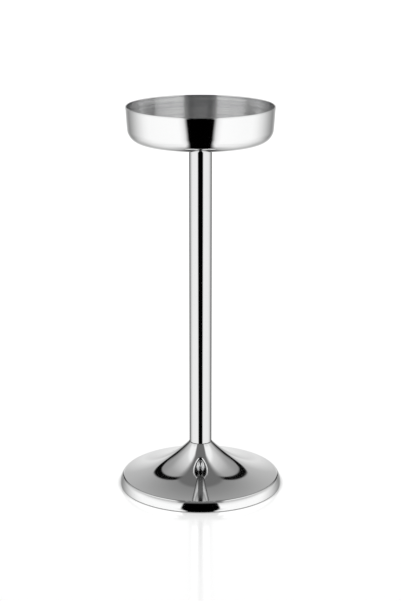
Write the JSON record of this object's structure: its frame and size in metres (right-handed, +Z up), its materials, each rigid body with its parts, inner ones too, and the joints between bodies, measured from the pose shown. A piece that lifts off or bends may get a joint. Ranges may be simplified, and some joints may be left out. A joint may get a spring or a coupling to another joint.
{
  "type": "champagne bucket stand",
  "caption": "Free-standing mirror-polished stand: a shallow round dish that seats a wine bucket, on a slim tube column over a weighted round base with a flared neck.",
  "frame": {"origin": "centre of the footprint, on the floor", "axes": "+Z up along the column; the stand is a body of revolution, so +X and +Y are free"},
  "size_m": [0.25, 0.25, 0.59],
  "materials": {
    "polished_steel": "mirror polished",
    "bright_steel": "machined, bright",
    "rod_steel": "zinc plated thread, plain shank",
    "adapter_aluminium": "turned",
    "ballast_iron": "rough, dark primer",
    "cover_plastic": "fine grain",
    "ring_plastic": "pale, satin",
    "seal_rubber": "matte black"
  },
  "bodies": {
    "root": {"bucket_dish": "polished_steel", "sealing_washer": "seal_rubber", "dish_washer": "bright_steel", "sleeve_nut": "bright_steel", "support_gasket": "seal_rubber", "dish_support": "adapter_aluminium", "column_tube": "polished_steel", "tie_rod": "rod_steel", "base_adapter": "adapter_aluminium", "base_shell": "polished_steel", "ballast_disc": "ballast_iron", "bottom_cover": "cover_plastic", "cover_screws": "bright_steel", "floor_ring": "ring_plastic", "lower_washer": "bright_steel", "spring_washer": "rod_steel", "lower_nut": "bright_steel"}
  },
  "joints": []
}
